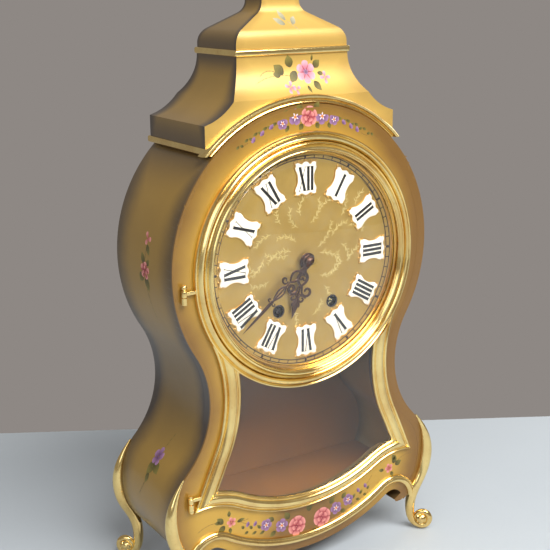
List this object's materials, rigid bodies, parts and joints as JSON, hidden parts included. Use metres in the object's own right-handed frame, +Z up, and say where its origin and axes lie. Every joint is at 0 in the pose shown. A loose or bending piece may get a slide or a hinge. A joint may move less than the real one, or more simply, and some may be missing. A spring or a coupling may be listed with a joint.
{
  "type": "mantel clock",
  "caption": "Waisted mantel clock: painted case on four brass scroll feet, stepped hood, glazed brass door, engraved dial, two hands, spring movement with bell strike.",
  "frame": {"origin": "on the table, under the middle of the case", "axes": "+Z up; the dial and the glazed door face -Y; +X is the clock's right-hand side as seen from the front"},
  "size_m": [0.2356, 0.1114, 0.4478],
  "materials": {
    "painted_wood": "gold paint shaded darker at the edges, satin varnish",
    "plain_wood": "stained wood",
    "polished_brass": "polished and lacquered",
    "engraved_brass": "brushed matt brass with engraved foliage",
    "track_inlay": "printed minute marks",
    "enamel": "white enamel with black hour numerals",
    "glass": "clear",
    "bronze_hands": "dark bronze",
    "steel": "turned steel",
    "movement_brass": "machined brass",
    "bell_metal": "spun bell"
  },
  "bodies": {
    "case": {"case_shell": "painted_wood", "front_board": "painted_wood", "base_board": "plain_wood", "back_board": "painted_wood", "base_trim": "polished_brass", "hood_lower": "painted_wood", "hood_strip": "polished_brass", "hood_cornice": "polished_brass", "hood_upper": "painted_wood", "hood_cap": "painted_wood", "finial": "polished_brass", "foot_front_left": "polished_brass", "foot_front_right": "polished_brass", "foot_back_left": "polished_brass", "foot_back_right": "polished_brass", "door_hinge_brackets": "polished_brass", "back_hinge_leaves": "polished_brass", "dial_plate": "engraved_brass", "dial_surround": "polished_brass", "minute_track": "track_inlay", "hour_plaques": "enamel", "winding_grommets": "polished_brass", "mounting_posts": "steel", "front_plate": "movement_brass", "back_plate": "movement_brass", "plate_pillars": "movement_brass", "movement_screws": "steel", "movement_straps": "steel", "escapement_cock": "movement_brass", "bell": "bell_metal", "strike_posts": "steel"},
    "door": {"door_frame": "polished_brass", "bezel_ring": "polished_brass", "dial_glass": "glass", "lower_glass": "glass"},
    "back_door": {"back_door": "painted_wood", "back_door_leaves": "polished_brass"},
    "back_turn": {"back_door_turn": "polished_brass"},
    "door_button": {"door_button": "polished_brass"},
    "minute": {"centre_arbor": "movement_brass", "minute_hand": "bronze_hands", "hand_nut": "polished_brass"},
    "hour": {"hour_wheel": "movement_brass", "hour_hand": "bronze_hands"},
    "minute_wheel": {"minute_wheel": "movement_brass"},
    "second_wheel": {"second_wheel": "movement_brass"},
    "going_barrel": {"going_barrel": "movement_brass"},
    "third_wheel": {"third_wheel": "movement_brass"},
    "fourth_wheel": {"fourth_wheel": "movement_brass"},
    "going_arbor": {"going_winding_arbor": "steel"},
    "strike_barrel": {"strike_barrel": "movement_brass"},
    "lift_wheel": {"lift_wheel": "movement_brass"},
    "fly": {"fly": "movement_brass"},
    "strike_arbor": {"strike_winding_arbor": "steel"},
    "going_click": {"going_click": "movement_brass"},
    "strike_click": {"strike_click": "movement_brass"},
    "escape_wheel": {"escape_wheel": "movement_brass"},
    "pallet_fork": {"pallet_fork": "movement_brass"},
    "balance": {"balance": "movement_brass"},
    "hammer": {"hammer": "steel"}
  },
  "joints": [
    {"name": "door_swing", "type": "hinge", "parent": "case", "child": "door", "pos_m": [-0.0975, -0.04385, 0.152], "axis": [0, 0, -1], "range_deg": [0, 105]},
    {"name": "back_door_swing", "type": "hinge", "parent": "case", "child": "back_door", "pos_m": [0.058, 0.04435, 0.22], "axis": [0, 0, -1], "range_deg": [0, 110]},
    {"name": "back_door_turn", "type": "hinge", "parent": "back_door", "child": "back_turn", "pos_m": [-0.046, 0.04035, 0.22], "axis": [0, -1, 0], "range_deg": [0, 90]},
    {"name": "door_button_push", "type": "slide", "parent": "case", "child": "door_button", "axis": [-1, 0, 0], "range_m": [0, 0.0025], "stiffness_N_per_m": 60, "springref_m": -0.004},
    {"name": "minute_hand_turn", "type": "hinge", "parent": "case", "child": "minute", "pos_m": [0, -0.00985, 0.232], "axis": [0, 1, 0], "continuous": true},
    {"name": "hour_hand_turn", "type": "hinge", "parent": "case", "child": "hour", "pos_m": [0, -0.03285, 0.232], "axis": [0, 1, 0], "continuous": true},
    {"name": "minute_wheel_turn", "type": "hinge", "parent": "case", "child": "minute_wheel", "pos_m": [0, -0.02885, 0.21595], "axis": [0, 1, 0], "continuous": true},
    {"name": "second_wheel_turn", "type": "hinge", "parent": "case", "child": "second_wheel", "pos_m": [0.01924, -0.00985, 0.22345], "axis": [0, 1, 0], "continuous": true},
    {"name": "going_barrel_turn", "type": "hinge", "parent": "case", "child": "going_barrel", "pos_m": [0.0223, -0.00985, 0.1996], "axis": [0, 1, 0], "continuous": true},
    {"name": "third_wheel_turn", "type": "hinge", "parent": "case", "child": "third_wheel", "pos_m": [-0.00498, -0.00985, 0.24935], "axis": [0, 1, 0], "continuous": true},
    {"name": "fourth_wheel_turn", "type": "hinge", "parent": "case", "child": "fourth_wheel", "pos_m": [0.0117, -0.00985, 0.2529], "axis": [0, 1, 0], "continuous": true},
    {"name": "going_winding", "type": "hinge", "parent": "case", "child": "going_arbor", "pos_m": [0.0223, -0.03085, 0.1996], "axis": [0, 1, 0], "continuous": true},
    {"name": "strike_barrel_turn", "type": "hinge", "parent": "case", "child": "strike_barrel", "pos_m": [-0.0223, -0.00985, 0.1996], "axis": [0, 1, 0], "continuous": true},
    {"name": "lift_wheel_turn", "type": "hinge", "parent": "case", "child": "lift_wheel", "pos_m": [-0.01924, -0.00985, 0.22345], "axis": [0, 1, 0], "continuous": true},
    {"name": "fly_turn", "type": "hinge", "parent": "case", "child": "fly", "pos_m": [-0.03007, -0.00985, 0.2408], "axis": [0, 1, 0], "continuous": true},
    {"name": "strike_winding", "type": "hinge", "parent": "case", "child": "strike_arbor", "pos_m": [-0.0223, -0.03085, 0.1996], "axis": [0, 1, 0], "continuous": true},
    {"name": "going_click_lift", "type": "hinge", "parent": "case", "child": "going_click", "pos_m": [0.0293, -0.02705, 0.19], "axis": [0, -1, 0], "range_deg": [0, 15], "stiffness_Nm_per_rad": 0.0001, "springref_deg": -11.46},
    {"name": "strike_click_lift", "type": "hinge", "parent": "case", "child": "strike_click", "pos_m": [-0.0293, -0.02705, 0.19], "axis": [0, 1, 0], "range_deg": [0, 15], "stiffness_Nm_per_rad": 0.0001, "springref_deg": -11.46},
    {"name": "escape_wheel_turn", "type": "hinge", "parent": "case", "child": "escape_wheel", "pos_m": [0.012, 0.01015, 0.265], "axis": [0, 1, 0], "continuous": true},
    {"name": "pallet_fork_rock", "type": "hinge", "parent": "case", "child": "pallet_fork", "pos_m": [0.0025, 0.01015, 0.267], "axis": [0, 1, 0], "range_deg": [-5, 5]},
    {"name": "balance_swing", "type": "hinge", "parent": "case", "child": "balance", "pos_m": [-0.01, 0.01015, 0.265], "axis": [0, 1, 0], "range_deg": [-140, 140], "stiffness_Nm_per_rad": 0.000001},
    {"name": "hammer_lift", "type": "hinge", "parent": "case", "child": "hammer", "pos_m": [0.034, 0.01215, 0.244], "axis": [0, -1, 0], "range_deg": [0, 20], "stiffness_Nm_per_rad": 0.01, "springref_deg": -17.19}
  ],
  "couplings": [
    {"joint": "minute_wheel_turn", "follows": "minute_hand_turn", "ratio": -0.33333},
    {"joint": "hour_hand_turn", "follows": "minute_hand_turn", "ratio": 0.083333},
    {"joint": "second_wheel_turn", "follows": "minute_hand_turn", "ratio": -0.16667},
    {"joint": "going_barrel_turn", "follows": "minute_hand_turn", "ratio": 0.02381},
    {"joint": "third_wheel_turn", "follows": "minute_hand_turn", "ratio": -8},
    {"joint": "fourth_wheel_turn", "follows": "minute_hand_turn", "ratio": 60},
    {"joint": "lift_wheel_turn", "follows": "strike_barrel_turn", "ratio": -7},
    {"joint": "fly_turn", "follows": "strike_barrel_turn", "ratio": 52.5}
  ]
}
